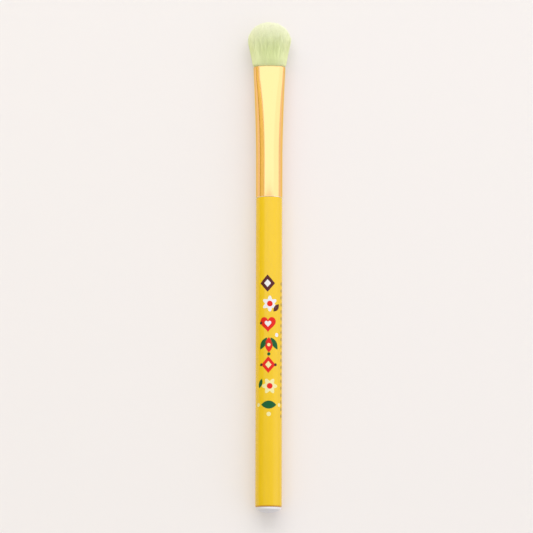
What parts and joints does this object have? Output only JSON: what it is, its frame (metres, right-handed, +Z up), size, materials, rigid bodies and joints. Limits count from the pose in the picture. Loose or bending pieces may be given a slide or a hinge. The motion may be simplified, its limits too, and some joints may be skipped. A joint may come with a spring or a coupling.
{
  "type": "eyeshadow brush",
  "caption": "Slim makeup brush: a flat domed bristle tuft in a pressed gold ferrule on a round printed plastic handle with a plugged end, for laying on and blending eyeshadow.",
  "frame": {"origin": "on the table under the middle of the brush's length, where it lies on its side", "axes": "+X along the brush towards the bristles, +Y across the flat of the tuft, +Z up"},
  "size_m": [0.1492, 0.0126, 0.008],
  "materials": {
    "handle_plastic": "glossy moulded, printed in several colours",
    "plug_plastic": "satin moulded",
    "ferrule_metal": "polished, gold anodised",
    "dowel_wood": "turned, bare",
    "glue": "cured glue",
    "thread": "twisted polyester",
    "epoxy": "cast, amber",
    "filament": "soft tapered synthetic filaments, dyed pale green"
  },
  "bodies": {
    "handle_assembly": {"handle_tube": "handle_plastic", "end_plug": "plug_plastic", "ferrule": "ferrule_metal", "joint_plug": "dowel_wood", "ferrule_glue": "glue", "handle_glue": "glue", "binding_thread": "thread", "root_epoxy": "epoxy"},
    "bristles": {"bristle_tuft": "filament"}
  },
  "joints": [
    {"name": "bristle_sweep", "type": "hinge", "parent": "handle_assembly", "child": "bristles", "pos_m": [0.06082, 0, 0.004], "axis": [0, 0, 1], "range_deg": [-25, 25], "stiffness_Nm_per_rad": 0.0035, "deforming": ["bristle_tuft"]}
  ]
}
